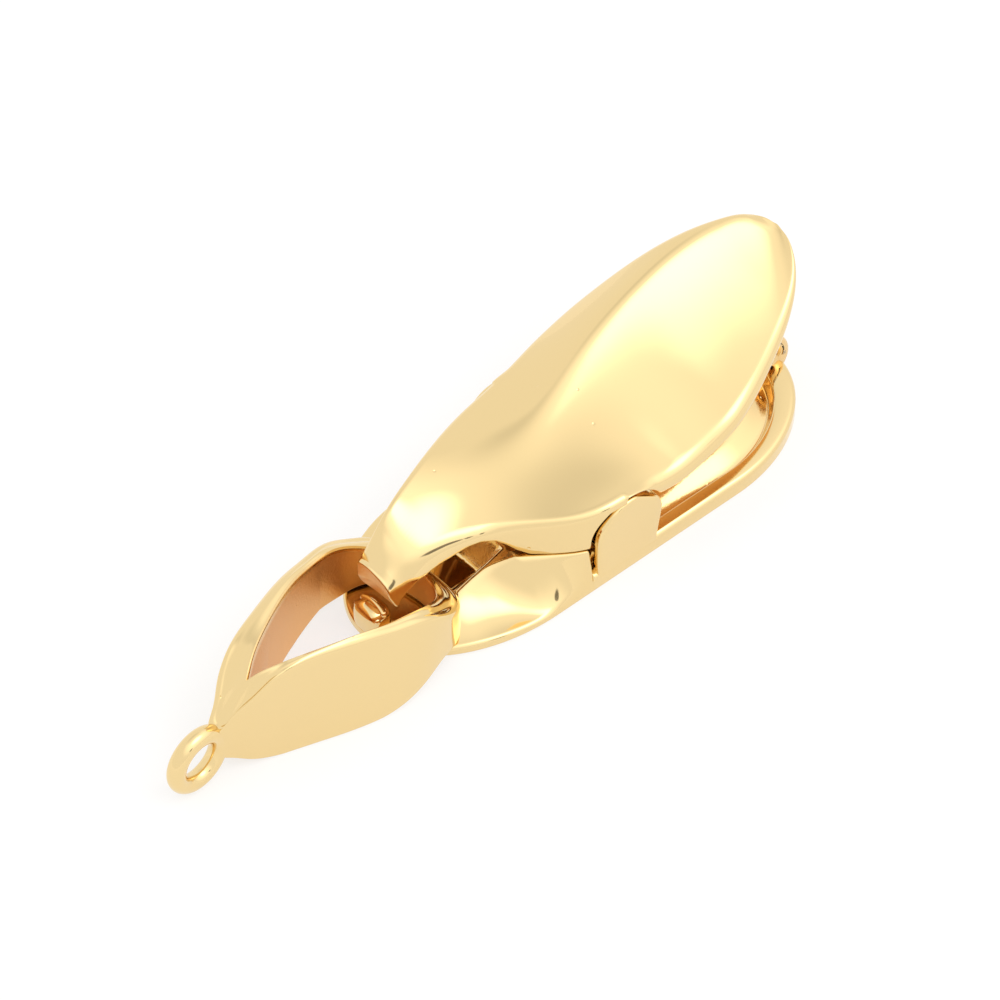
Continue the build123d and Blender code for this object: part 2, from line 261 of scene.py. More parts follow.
def skin(name, grid, round_trip=False, cast=None):
    """A closed mesh of quads over a grid of points in millimetres.

    The grid's second direction closes on itself, and its first does too on a round trip. The last argument
    gives how rough the casting was left at each point, from 0, polished, to 1; the material also paints
    orange bounce light there in step with it. Points that meet are merged, and faces turned out.
    """
    rows, columns = grid.shape[:2]
    index = np.arange(rows * columns).reshape(rows, columns)
    here = index if round_trip else index[:-1]
    ahead = np.roll(index, -1, axis=0) if round_trip else index[1:]
    quads = np.stack([here, np.roll(here, -1, axis=1), np.roll(ahead, -1, axis=1), ahead], axis=-1)
    mesh = bpy.data.meshes.new(name)
    mesh.from_pydata((grid.reshape(-1, 3) * MM).tolist(), [], quads.reshape(-1, 4).tolist())
    # This mask sets roughness and, in the material, the painted orange bounce light.
    rough = np.zeros((rows, columns)) if cast is None else np.broadcast_to(cast, (rows, columns))
    layer = mesh.attributes.new("cast", "FLOAT", "POINT")
    layer.data.foreach_set("value", rough.ravel().astype(np.float32))
    shell = bmesh.new()
    shell.from_mesh(mesh)
    bmesh.ops.remove_doubles(shell, verts=shell.verts, dist=2e-7)
    bmesh.ops.dissolve_degenerate(shell, edges=shell.edges, dist=1e-8)
    bmesh.ops.recalc_face_normals(shell, faces=shell.faces)
    shell.to_mesh(mesh)
    shell.free()
    mesh.shade_smooth()
    piece = bpy.data.objects.new(name, mesh)
    bpy.context.scene.collection.objects.link(piece)
    return piece


def finish_piece(piece, body, material):
    """Gives a new piece its material and its body."""
    piece.data.materials.clear()
    piece.data.materials.append(material)
    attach(piece, body)


def end_cap(ring, outward, radius):
    """Rings that close an end: a quarter round of that radius along outward, then a flat."""
    middle = (ring.min(axis=0) + ring.max(axis=0)) / 2
    inward = middle - ring
    reach = np.linalg.norm(inward, axis=1, keepdims=True)
    turn = np.linspace(0, np.pi / 2, 7)[1:, None, None]
    rounded = (ring + inward / reach * radius * (1 - np.cos(turn))
               + np.array(outward) * radius * np.sin(turn))
    edge = rounded[-1]
    center = edge.mean(axis=0)
    flat = center + (edge - center) * np.array((0.7, 0.35, 0.0))[:, None, None]
    return np.concatenate([rounded, flat])


def add_node(tree, kind, settings=None, **links):
    """Adds a node, sets its properties and input values, and links its inputs.

    settings holds properties by name and input values by socket name or number. Links run from an output
    socket to the input of that name, with spaces for underscores, or of the number after one underscore.
    """
    node = tree.nodes.new(kind)
    for key, value in (settings or {}).items():
        if isinstance(key, str) and key in node.bl_rna.properties:
            setattr(node, key, value)
        else:
            node.inputs[key].default_value = value
    for key, socket in links.items():
        name = int(key[1:]) if key[1:].isdigit() else key.replace("_", " ")
        tree.links.new(socket, node.inputs[name])
    return node


def gold_plate(name, colour, cast_and_bounce_colour):
    """Light gold plating over cast brass, polished outside and left as cast inside.

    The plating copies the brass below it: mirror-bright where it was buffed, and grainy from the mould where no
    wheel reached. There its colour is also painted a deeper orange, a painted reflection that stands in for
    light bounced gold on gold inside the hollows. A few pin holes of the casting show everywhere. A per-point
    attribute says how rough the place was left, and so how much of the painted orange it gets.
    """
    material = bpy.data.materials.new(name)
    material.use_nodes = True
    tree = material.node_tree
    tree.nodes.clear()
    place = add_node(tree, "ShaderNodeTexCoord").outputs["Object"]
    cast = add_node(tree, "ShaderNodeAttribute", {"attribute_name": "cast"}).outputs["Fac"]
    # Mould grain of 0.12 mm, buffing waves of 2.4 mm, and pin holes about 1.6 mm apart.
    grain = add_node(tree, "ShaderNodeTexNoise", {"Scale": 1 / (0.12 * MM), "Detail": 3.0}, Vector=place)
    waves = add_node(tree, "ShaderNodeTexNoise", {"Scale": 1 / (2.4 * MM), "Detail": 1.0}, Vector=place)
    holes = add_node(tree, "ShaderNodeTexVoronoi", {"Scale": 1 / (1.6 * MM)}, Vector=place)
    pits = add_node(tree, "ShaderNodeMapRange",
                    {"From Min": 0.02, "From Max": 0.05, "To Min": 0.0, "To Max": 1.0},
                    Value=holes.outputs["Distance"])
    rough = add_node(tree, "ShaderNodeMapRange", {"To Min": 0.075, "To Max": 0.42}, Value=cast)
    depth = add_node(tree, "ShaderNodeMath", {"operation": "MULTIPLY", 1: 0.018 * MM}, _0=cast)
    relief = add_node(tree, "ShaderNodeMath", {"operation": "MULTIPLY"}, _0=grain.outputs["Fac"],
                      _1=depth.outputs["Value"])
    buffed = add_node(tree, "ShaderNodeMath", {"operation": "MULTIPLY", 1: 0.006 * MM},
                      _0=waves.outputs["Fac"])
    sunk = add_node(tree, "ShaderNodeMath", {"operation": "MULTIPLY", 1: 0.02 * MM},
                    _0=pits.outputs["Result"])
    height = add_node(tree, "ShaderNodeMath", {"operation": "ADD"}, _0=relief.outputs["Value"],
                      _1=buffed.outputs["Value"])
    height = add_node(tree, "ShaderNodeMath", {"operation": "ADD"}, _0=height.outputs["Value"],
                      _1=sunk.outputs["Value"])
    bump = add_node(tree, "ShaderNodeBump", {"Strength": 1.0, "Distance": 1.0},
                    Height=height.outputs["Value"])
    # Painted bounce light: places left as cast are tinted deeper orange to stand in for light reflected gold on
    # gold in the hollows.
    painted_bounce_tint = add_node(tree, "ShaderNodeMix", {"data_type": "RGBA", 6: colour, 7: cast_and_bounce_colour}, _0=cast)
    metal = add_node(tree, "ShaderNodeBsdfPrincipled", {"Metallic": 1.0}, Base_Color=painted_bounce_tint.outputs[2],
                     Roughness=rough.outputs["Result"], Normal=bump.outputs["Normal"])
    add_node(tree, "ShaderNodeOutputMaterial", Surface=metal.outputs["BSDF"])
    return material


def gold():
    """The one plating that every piece wears, made once."""
    name = "light_gold_plate_over_cast_brass"
    finish = bpy.context.scene.clasp_finish
    return bpy.data.materials.get(name) or gold_plate(name, finish.plate, finish.cast)


def lever_measures(x):
    """Edges, ridge and heights at each place along the lever, in millimetres, by splines through the rows.

    The two edges are splines over the square root of the distance from the thumb end, so the outline closes
    round.
    """
    along = (x - LEVER_LOW[0]) / (LEVER_HIGH[0] - LEVER_LOW[0])
    share = dict(zip(LEVER_COLUMNS[1:], natural_spline(LEVER_ROWS[:, 0], LEVER_ROWS[:, 1:], along).T))
    root = np.sqrt(np.maximum(1 - LEVER_ROWS[::-1, 0], 0))
    edges = natural_spline(root, LEVER_ROWS[::-1, 1:3], np.sqrt(np.maximum(1 - along, 0)))
    heights = ("near_z", "ridge_z", "far_z", "bowl", "flank", "crest", "far_crest")
    m = {name: share[name] * LEVER_FULL_HEIGHT for name in heights}
    edges = soft_min(edges, np.full_like(edges, 0.999), 0.04)
    m["near"], m["far"] = -edges[:, 0] * LEVER_HALF_WIDTH, edges[:, 1] * LEVER_HALF_WIDTH
    m["ridge"] = np.clip(share["ridge"] * LEVER_HALF_WIDTH, m["near"] + 0.02, m["far"] - 0.02)
    m["soft"] = np.interp(along, LEVER_ROWS[:, 0], LEVER_ROWS[:, LEVER_COLUMNS.index("soft")])
    return m


def lever_top(m, across):
    """Height of the lid over points across each section.

    A parabola with a fifth-degree term runs from each edge to the ridge, and a bell-shaped average over the
    softness rubs the ridge round. The curve is carried on past each edge turned about it, so the edges keep
    their heights.
    """
    near, far, ridge = m["near"][:, None], m["far"][:, None], m["ridge"][:, None]
    near_z, far_z, ridge_z = m["near_z"][:, None], m["far_z"][:, None], m["ridge_z"][:, None]
    bowl, crest, flank, far_crest = (m[name][:, None] for name in ("bowl", "crest", "flank", "far_crest"))
    total, weights = 0, 0
    for shift in np.linspace(-2.2, 2.2, 23):
        y = across + shift * m["soft"][:, None]
        below, above = y < near, y > far
        inside = np.clip(np.where(below, 2 * near - y, np.where(above, 2 * far - y, y)), near, far)
        low = np.clip((inside - near) / np.maximum(ridge - near, 1e-3), 0, 1)
        high = np.clip((far - inside) / np.maximum(far - ridge, 1e-3), 0, 1)
        near_side = near_z + (ridge_z - near_z) * low + 4 * (bowl + crest * low ** 3) * low * (1 - low)
        far_side = (far_z + (ridge_z - far_z) * high
                    + 4 * (flank + far_crest * high ** 3) * high * (1 - high))
        z = np.where(inside < ridge, near_side, far_side)
        z = np.where(below, 2 * near_z - z, np.where(above, 2 * far_z - z, z))
        weight = np.exp(-0.5 * shift ** 2)
        total, weights = total + weight * z, weights + weight
    return total / weights


def lever_places():
    """Places along the lever where it is cut into sections, closer where its outline turns quickly."""
    low, high = LEVER_LOW[0], LEVER_HIGH[0]
    even = np.linspace(low + 0.18, high - 2.5, 270)
    hook = np.linspace(-9.95, -9.25, 22)
    notch = -1.79 + 0.35 * np.linspace(0, 1, 16) ** 2
    rear = np.linspace(1.7, 2.5, 22)
    end = high - 2.5 * np.linspace(1, 0, 60) ** 2
    x = np.sort(np.concatenate([even, hook, notch, rear, end]))
    return x[np.concatenate([[True], np.diff(x) > 5e-4])]


def build_lever_shell(sizes):
    """The lid: at each place along X a closed cross-section with rounded edges.

    The section runs up the near wall, over the top, down the far wall, and back along the hollow
    underside. Its lower edge follows the hook, beak and cheek, then the round notch over the ears, and
    the lid's own thickness behind. The beak's near wall leans out below its top, and a cap closes the
    tip.
    """
    x = lever_places()
    m = lever_measures(x)
    crown = edge_drop(LEVER_HIGH[0] - x, THUMB_EDGE)
    for name in ("near_z", "ridge_z", "far_z"):
        m[name] = m[name] - crown
    width = m["far"] - m["near"]
    roll = natural_spline(LEVER_ROLL[:, 0], LEVER_ROLL[:, 1:], x)
    steps, near_roll, far_roll = edge_steps(width, roll[:, 0], roll[:, 2], 70)
    top_y = m["near"][:, None] + steps
    wall = sizes.lever_wall - 1.6 * crown - THUMB_THINNING * smooth_step((x - 6) / 4)
    notch_radius = sizes.ear_radius + sizes.ear_gap
    from_ear = x - sizes.ear_shift
    notch = PIN_HEIGHT + np.sqrt(np.maximum(notch_radius ** 2 - from_ear ** 2, 0))
    beak = np.interp(x, BEAK_EDGE[:, 0], BEAK_EDGE[:, 1])
    front = np.where(from_ear < -notch_radius, beak, notch)
    bottoms = []
    for edge_z in (m["near_z"], m["far_z"]):
        lid = edge_z - wall
        rear = np.maximum(notch * (from_ear < notch_radius), lid)
        bottoms.append(np.where(x < 0, np.minimum(front, lid + 0.25), rear))
    near_bottom, far_bottom = bottoms
    lip = 0.14 * np.minimum(1, width / 0.6)
    drops = []
    for edge_z, low, down, used, inset in (
        (m["near_z"], near_bottom, roll[:, 1], near_roll, steps),
        (m["far_z"], far_bottom, roll[:, 3], far_roll, width[:, None] - steps),
    ):
        down = soft_min(down, 0.9 * (edge_z - low - lip), 0.1)[:, None]
        drops.append(edge_drop(inset, used) * down / used)
    top_z = lever_top(m, top_y) - drops[0] - drops[1]
    thick = REAR_SIDE_WALL + (sizes.cheek_wall - REAR_SIDE_WALL) * smooth_step((2.3 - x) / 0.4)
    thick = np.minimum(thick, 0.42 * width)

    def wall_points(y, low, high_z, count):
        share = np.linspace(0, 1, count)[None, :]
        z = low[:, None] + (high_z - low)[:, None] * share
        return np.broadcast_to(y[:, None], z.shape), z

    def lip_points(y, inward, low, count=6):
        turn = np.linspace(0, np.pi / 2, count)[None, :]
        return (y[:, None] + inward * lip[:, None] * (1 - np.cos(turn)),
                low[:, None] + lip[:, None] * (1 - np.sin(turn)))

    solid = smooth_step((-6.4 - x) / 0.5)[:, None]
    inner_width = np.maximum(width - 2 * thick, 0.0)
    share = np.linspace(0, 1, 33)[None, :]
    inner_y = m["near"][:, None] + thick[:, None] + inner_width[:, None] * share
    under = lever_top(m, inner_y) - wall[:, None]
    flat = near_bottom[:, None] + (far_bottom - near_bottom)[:, None] * share
    under = np.maximum(under + (flat - under) * solid, flat)

    near_wall = wall_points(m["near"], near_bottom + lip, top_z[:, 0], 9)
    far_wall = wall_points(m["far"], far_bottom + lip, top_z[:, -1], 9)
    near_lip = lip_points(m["near"], 1, near_bottom)
    far_lip = lip_points(m["far"], -1, far_bottom)
    near_inner = wall_points(m["near"] + thick, near_bottom, under[:, 0], 7)
    far_inner = wall_points(m["far"] - thick, far_bottom, under[:, -1], 7)
    ys = [near_wall[0], top_y[:, 1:-1], far_wall[0][:, ::-1], far_lip[0][:, 1:], far_inner[0][:, :-1],
          inner_y[:, ::-1], near_inner[0][:, -2::-1], near_lip[0][:, ::-1][:, :-1]]
    zs = [near_wall[1], top_z[:, 1:-1], far_wall[1][:, ::-1], far_lip[1][:, 1:], far_inner[1][:, :-1],
          under[:, ::-1], near_inner[1][:, -2::-1], near_lip[1][:, ::-1][:, :-1]]
    y, z = np.concatenate(ys, axis=1), np.concatenate(zs, axis=1)
    slant = (0.38 * np.maximum(2.75 - z, 0) - 0.09 * (y - 0.1)) * smooth_step((-8.6 - x) / 1.4)[:, None]
    flare = BEAK_FLARE * np.clip(0.2 - y, 0, 1) * smooth_step((-7.4 - x) / 1.2)[:, None]
    y = y + flare * (soft_min(z, BEAK_FLARE_TOP + 0 * z, 0.3) - BEAK_FLARE_TOP)
    grid = np.stack([x[:, None] + slant, y, z], axis=-1)
    # The underside and the inner faces are left as cast: rougher, and painted deeper orange as bounce light in the
    # hollow lid.
    outside = sum(part.shape[1] for part in ys[:4])
    cast = np.zeros(y.shape)
    cast[:, outside:-5] = 1.0
    tip = end_cap(grid[0], (-1, 0, 0), 0.1)[::-1]
    grid = np.concatenate([tip, grid])
    # The tip's flat end is marked as cast too, so it also gets the painted orange bounce light.
    face = np.repeat((0.9, 0.0), (4, len(tip) - 4))[:, None]
    cast = np.concatenate([np.broadcast_to(face, (len(tip), y.shape[1])), cast])
    return skin("lever_shell", grid, cast=cast)


def build_disc(name, center, outline, hole, y_low, y_high, edge, cast=0.0):
    """A plate that stands across Y, round a hole or solid, with rounded rims.

    outline gives its radius about center for each angle. The profile runs from the hole or the middle out
    over one face, round the rim, and back over the other face.
    """
    angle = np.linspace(0, 2 * np.pi, 181)[:-1]
    radius = outline(angle)
    turn = np.linspace(0, np.pi / 2, 6)
    inner_edge = edge if hole else 0.0
    out = [np.full_like(radius, hole + inner_edge), *[hole + (radius - hole) * s for s in (0.35, 0.7)]]
    out = [np.minimum(r, radius - edge) for r in out]
    rim = [radius - edge * (1 - np.sin(t)) for t in turn]
    rows = [(r, y_low) for r in out] + [(r, y_low + edge * (1 - np.cos(t))) for r, t in zip(rim, turn)]
    rows += [(r, y_high - edge * (1 - np.cos(t))) for r, t in zip(rim[::-1], turn[::-1])]
    rows += [(r, y_high) for r in out[::-1]]
    if hole:
        bore = [(np.full_like(radius, hole + edge * (1 - np.sin(t))), y_high - edge * (1 - np.cos(t)))
                for t in turn]
        rows += bore + [(r, y_low + y_high - y) for r, y in bore[::-1]]
    rings = [(center[0] + r * np.cos(angle), np.full_like(r, y), center[1] + r * np.sin(angle))
             for r, y in rows]
    grid = np.stack([np.stack(ring, axis=-1) for ring in rings])
    return skin(name, grid, round_trip=bool(hole), cast=cast)


def ear_outline(ear_radius):
    """Radius of an ear about its middle: a disc flattened above its rear, on a narrowing foot."""
    def radius(angle):
        flat = (ear_radius - 0.18) / np.maximum(np.cos(angle - np.radians(54)), 0.05)
        disc = np.minimum(ear_radius, flat)
        down = np.maximum(-np.sin(angle), 1e-6)
        behind = 1.84 / np.maximum(np.cos(angle) - 0.18 * np.sin(angle), 1e-6)
        ahead = ear_radius / np.maximum(-np.cos(angle), 1e-6)
        side = np.where(np.cos(angle) > 0, behind, ahead)
        foot = np.where(np.sin(angle) < 0, np.minimum(side, (PIN_HEIGHT - 0.15) / down), 0)
        joined = np.where(np.sin(angle) < -0.02, foot, disc)
        spread = np.array((1, 4, 6, 4, 1)) / 16
        return sum(w * np.roll(joined, k) for w, k in zip(spread, range(-2, 3)))
    return radius


def lug_outline(angle):
    """Radius of a hinge lug about the pin: round below, with a straight neck up into the lid."""
    up = np.maximum(np.sin(angle), 1e-6)
    neck = np.minimum(0.92 / np.maximum(np.abs(np.cos(angle)), 1e-6), 1.95 / up)
    return np.maximum(1.15, np.where(np.sin(angle) > 0, neck, 0))


# Centres along X and reaches of the base's two half ovals, and where the shoulders begin, in millimetres.
BASE_FRONT_X, BASE_FRONT_REACH = -3.95, 7.1
BASE_REAR_X, BASE_REAR_REACH = 6.5, 6.35
SHOULDER_X = -1.9
# Middle and radius of the round scoop for the link, and the width of its wall in plan.
SCOOP_X, SCOOP_RADIUS, SCOOP_WALL = -10.15, 3.3, 0.16


def base_columns():
    """Places round the base's outline: half ovals at both ends and straight stretches between them.

    Each place is (centre x, share of the reach, share of the half width, reach), so a point inset by d
    lies at centre + share * (reach - d) along X and share * (half width - d) along Y.
    """
    front_turn = np.linspace(0, np.pi / 2, 100)
    rear_turn = np.linspace(np.pi / 2, 0, 90)
    straight = np.unique(np.concatenate([
        np.linspace(BASE_FRONT_X, -1.9, 34)[1:], [-1.88], np.linspace(-1.8, BASE_REAR_X, 60)]))
    near = [(BASE_FRONT_X, -np.cos(t), -np.sin(t), BASE_FRONT_REACH) for t in front_turn]
    near += [(x, 0.0, -1.0, 0.0) for x in straight[:-1]]
    near += [(BASE_REAR_X, np.cos(t), -np.sin(t), BASE_REAR_REACH) for t in rear_turn]
    near = np.array(near)
    far = near[1:-1][::-1] * np.array((1, 1, -1, 1))
    return np.concatenate([near, far])


def build_base_body(sizes):
    """Plate, rim, tray and shoulders as one skin.

    Columns run round the boat-shaped outline and rows run from the middle of the underside out, up the
    side, and in over the top. The front's top is a height over the plan: a deck that slopes down towards
    the nose and falls, hollow, out to the plate's edge, with a channel and a round scoop for the link.
    The rear's top is the rim, the inner wall and the tray's floor, which rises to a crown in the middle.
    """
    column = base_columns()
    half_width, floor, edge = BASE_HIGH[1], sizes.plate, sizes.base_edge
    rim_top = floor + sizes.rim_height
    foot_edge = 0.12

    def place(inset):
        inset = np.broadcast_to(inset, column.shape[:1])
        reach = np.maximum(column[:, 3] - inset, 0)
        return column[:, 0] + column[:, 1] * reach, column[:, 2] * (half_width - inset)

    outer_x = place(0.0)[0]
    rear = outer_x > -1.89

    def front_height(x, y):
        """Height of the front's top at a point of the plan, and how rough the scoop's wall is there, which also
        sets how much painted orange bounce light it gets.
        """
        ahead, side = np.maximum(SHOULDER_X - x, 0), np.abs(y)
        past = np.maximum(BASE_FRONT_X - x, 0) / BASE_FRONT_REACH
        outline = half_width * np.sqrt(np.maximum(1 - past ** 2, 0))
        cheek = 0.05 - lever_measures(np.ravel(x))["near"].reshape(np.shape(x))
        crest = np.minimum(-soft_min(-cheek, -1.75 + 0 * cheek, 0.3), outline - 0.05)
        fall = np.clip((side - crest) / np.maximum(outline - crest, 0.05), -0.5, 1)
        height = floor + sizes.deck * np.clip(1 - (ahead - 2.5) / 5.4, 0, 1)
        foot = 0.36 + (floor - 0.36) * smooth_step((ahead - 2.1) / 3)
        hollow = 1 + 1.1 * smooth_step((ahead - 1.6) / 2.4) - 0.6 * smooth_step((ahead - 4.6) / 1.4)
        shoulder = foot + (height - foot) * (1 - fall) ** hollow
        shoulder = soft_min(shoulder, height, 0.2)
        channel = np.maximum((side - 0.85) / 0.9, (x + 5.3) / 0.9)
        scoop = (np.hypot(x - SCOOP_X, y) - SCOOP_RADIUS) / SCOOP_WALL
        open_to = smooth_step(np.minimum(scoop, channel))
        return floor + (shoulder - floor) * open_to, 4 * open_to * (1 - open_to)

    turn = np.linspace(0, np.pi / 2, 6)
    rows = []
    for inset in (half_width, 3.4, 2.0, 0.8, 0.3):
        rows.append((np.full(len(column), inset), np.zeros(len(column))))
    for t in turn:
        foot_inset = foot_edge * (1 - np.sin(t))
        rows.append((np.full(len(column), foot_inset), np.full(len(column), foot_edge * (1 - np.cos(t)))))
    side_top = np.where(rear, rim_top - 0.12, front_height(*place(0.0))[0]) - edge
    for share in np.linspace(0, 1, 6)[1:-1]:
        rows.append((np.zeros(len(column)), foot_edge + (side_top - foot_edge) * share))

    # The rim's width, its inner rounding and outward fall, the tray wall's foot, and the gutter along it.
    land = np.where(rear, 0.7 + 0.45 * np.clip(column[:, 1], 0, 1) ** 2, 0)
    inner, fall, apron = 0.08, 0.12, 0.25
    gutter = floor - 0.12
    count = 72
    rear_inset, rear_z = [], []

    def rim(inset):
        return rim_top - fall * np.maximum(1 - inset / np.maximum(land, 0.1), 0) ** 1.6

    for t in np.linspace(0, np.pi / 2, 8):
        inset = edge * (1 - np.cos(t)) + 0 * land
        rear_inset.append(inset)
        rear_z.append(rim(inset) - edge * (1 - np.sin(t)))
    for share in np.linspace(0, 1, 10)[1:]:
        inset = edge + (land - inner - edge) * share
        rear_inset.append(inset)
        rear_z.append(rim(inset))
    for t in turn[1:]:
        inset = land - inner * (1 - np.sin(t))
        rear_inset.append(inset)
        rear_z.append(rim(inset) - inner * (1 - np.cos(t)))
    rear_inset.append(land)
    rear_z.append(rim_top - 0.14 + 0 * land)
    left = count - len(rear_inset)
    for share in np.linspace(0, 1, left + 1)[1:] ** 1.4:
        inset = land + (half_width - land) * share
        slope = np.clip(1 - (inset - land) / apron, 0, 1)
        crown = 0.55 * smooth_step((inset - land - 0.1) / 1.5)
        rear_inset.append(inset)
        rear_z.append(gutter + (rim_top - 0.16 - gutter) * slope ** 1.5 + crown)
    front_inset = half_width * np.linspace(0, 1, count) ** 2.0
    for k in range(count):
        inset = np.where(rear, rear_inset[k], front_inset[k])
        x, y = place(inset)
        front_z = front_height(x, y)[0] - edge_drop(inset, edge)
        rows.append((inset, np.where(rear, rear_z[k], front_z)))
    grid, cast = [], []
    for k, (inset, z) in enumerate(rows):
        x, y = place(inset)
        grid.append(np.stack([x, y, z], axis=-1))
        # The tray and the scoop's wall are left as cast: rougher, and painted deeper orange as bounce light in
        # these hollows.
        tray = rear & (inset > land - 0.01) & (k > 12)
        mouth = front_height(x, y)[1] * ~rear
        cast.append(np.where(tray, 0.12, np.where(k > 12, 0.8 * mouth, 0.0)))
    return skin("base_body", np.array(grid), cast=np.array(cast))


def build_pebble(name, center, half, squareness, bow=0.0, cast=0.0):
    """A rounded block: a superellipsoid with the given half sizes, square where squareness is small."""
    def power(value):
        return np.sign(value) * np.abs(value) ** squareness

    rise = np.linspace(-np.pi / 2, np.pi / 2, 41)[:, None]
    turn = np.linspace(0, 2 * np.pi, 65)[None, :-1]
    x = half[0] * power(np.cos(rise)) * power(np.cos(turn))
    y = half[1] * power(np.cos(rise)) * power(np.sin(turn))
    z = half[2] * power(np.sin(rise)) + 0 * turn
    x = x + bow * (z / half[2]) ** 2
    grid = np.stack([x + center[0], y + center[1], z + center[2]], axis=-1)
    return skin(name, grid, cast=cast)


def build_rod(name, path, radius, cast=0.0):
    """A round wire along a path: circles square to it, smaller over each rounded end."""
    path = np.asarray(path, float)
    tangent = np.gradient(path, axis=0)
    tangent /= np.linalg.norm(tangent, axis=1, keepdims=True)
    side = np.cross(tangent, (0.31, 0.17, 0.94))
    side /= np.linalg.norm(side, axis=1, keepdims=True)
    other = np.cross(tangent, side)
    arc = np.concatenate([[0], np.cumsum(np.linalg.norm(np.diff(path, axis=0), axis=1))])
    from_end = np.minimum(arc, arc[-1] - arc)
    size = radius * np.sqrt(np.clip(1 - np.clip(1 - from_end / radius, 0, 1) ** 2, 0, 1))
    turn = np.linspace(0, 2 * np.pi, 33)[None, :-1, None]
    circle = np.cos(turn) * side[:, None] + np.sin(turn) * other[:, None]
    grid = path[:, None] + size[:, None, None] * circle
    return skin(name, grid, cast=cast)


def build_nose_rib(name, x, z, half_width, radius):
    """A small rib bent over the nose: a wire along a low arch in Y, a sine that slows at its ends."""
    share = np.sin(np.linspace(-np.pi / 2, np.pi / 2, 41))
    path = np.stack([x - 0.10 * share ** 2, half_width * share, z - 0.16 * share ** 2], axis=-1)
    return build_rod(name, path, radius)


def leaf_side(points, length, half_width, tip, slope):
    """One side of a leaf outline from the bar to the tip, as 150 points along an even parameter.

    A spline by chord length through shares of the length and half width, square to the bar at its start.
    """
    start, side = points[0, 0] * 0.9, np.sign(points[0, 1])
    share = np.vstack([[start, 0.0], points, tip])
    plan = share * (-length, half_width)
    chord = np.concatenate([[0], np.cumsum(np.linalg.norm(np.diff(plan, axis=0), axis=1))])
    end = np.array((-1.0, slope)) / np.hypot(1, slope)
    return natural_spline(chord, plan, np.linspace(0, chord[-1], 150), start=np.array((0.0, side)), end=end)


def round_corners(loop, spread):
    """A closed outline averaged with its neighbours, which rounds its corners."""
    kernel = np.exp(-0.5 * (np.arange(-3 * spread, 3 * spread + 1) / spread) ** 2)
    kernel /= kernel.sum()
    reach = 3 * spread
    return sum(w * np.roll(loop, k, axis=0) for w, k in zip(kernel, range(-reach, reach + 1)))


def link_frame():
    """The end ring's centre, and the level direction from it along the link towards the mouth."""
    ring = next(mount for mount in frame["record"]["mounts"] if mount["name"] == "link_ring")
    center, axis = np.array(ring["pos_m"]) / MM, np.array(ring["axis"])
    along = np.array((axis[1], -axis[0], 0.0))
    return center, along


